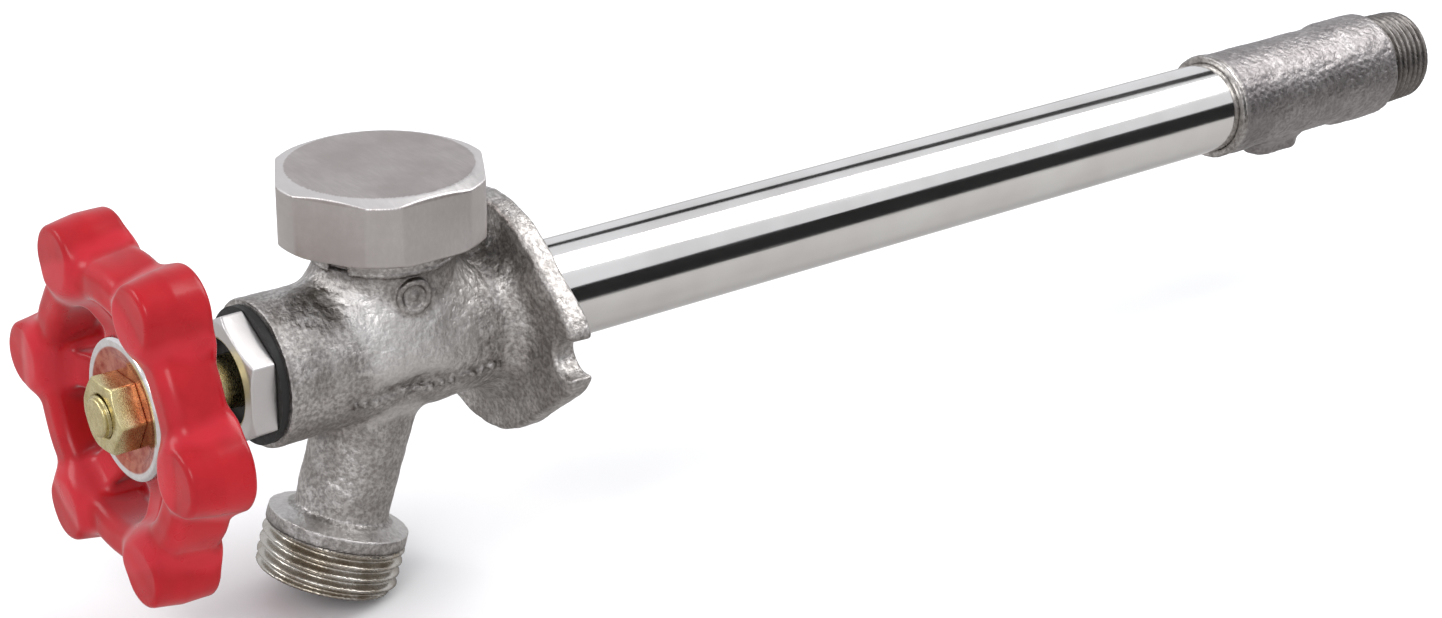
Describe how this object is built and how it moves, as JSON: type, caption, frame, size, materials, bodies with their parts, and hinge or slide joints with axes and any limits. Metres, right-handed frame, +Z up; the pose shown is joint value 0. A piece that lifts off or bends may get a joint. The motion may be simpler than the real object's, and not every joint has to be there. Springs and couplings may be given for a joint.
{
  "type": "hose bib",
  "caption": "Frost-free anti-siphon hose bib: wall-flanged valve casting, long supply tube, handwheel and top vacuum breaker.",
  "frame": {"origin": "on the pipe axis, in the plane of the wall flange's back face", "axes": "+Y along the supply tube towards the inlet, +Z up through the vacuum breaker, +X to the right seen from the handwheel"},
  "size_m": [0.0712, 0.3393, 0.0834],
  "materials": {
    "cast_nickel": "rough sand casting with dull nickel plate",
    "chrome_tube": "mirror chrome",
    "plated_turned": "turned and nickel plated, fine tool marks",
    "brass": "turned, bright",
    "black_rubber": "matt",
    "white_plastic": "moulded",
    "spring_steel": "drawn wire",
    "red_enamel": "glossy enamel over a die casting",
    "bright_aluminium": "pressed and bright"
  },
  "bodies": {
    "body": {"valve_body": "cast_nickel", "supply_tube": "chrome_tube", "inlet_fitting": "cast_nickel", "packing_nut": "plated_turned", "bonnet_gasket": "black_rubber", "packing_washer": "brass", "stem_packing": "black_rubber", "breaker_bonnet": "brass", "bonnet_o_ring": "black_rubber", "breaker_cap": "plated_turned", "breaker_spring": "spring_steel"},
    "float": {"breaker_poppet": "white_plastic", "poppet_seal": "black_rubber"},
    "washer_carrier": {"washer_holder": "brass", "seat_washer": "black_rubber", "washer_screw": "brass", "swivel_clip": "spring_steel"},
    "spindle": {"stem": "brass", "stem_rod": "brass", "handwheel": "red_enamel", "id_disc": "bright_aluminium", "handle_nut": "brass"}
  },
  "joints": [
    {"name": "stem_travel", "type": "slide", "parent": "body", "child": "washer_carrier", "axis": [0, -1, 0], "range_m": [0, 0.008]},
    {"name": "stem_turn", "type": "hinge", "parent": "washer_carrier", "child": "spindle", "pos_m": [0, -0.079, 0], "axis": [0, -1, 0], "range_deg": [0, 720]},
    {"name": "float_lift", "type": "slide", "parent": "body", "child": "float", "axis": [0, 0, 1], "range_m": [0, 0.0024], "stiffness_N_per_m": 20, "springref_m": -0.004, "deforming": ["breaker_spring"]}
  ],
  "couplings": [
    {"joint": "stem_travel", "follows": "stem_turn", "m_per_rad": 0.00063662}
  ]
}
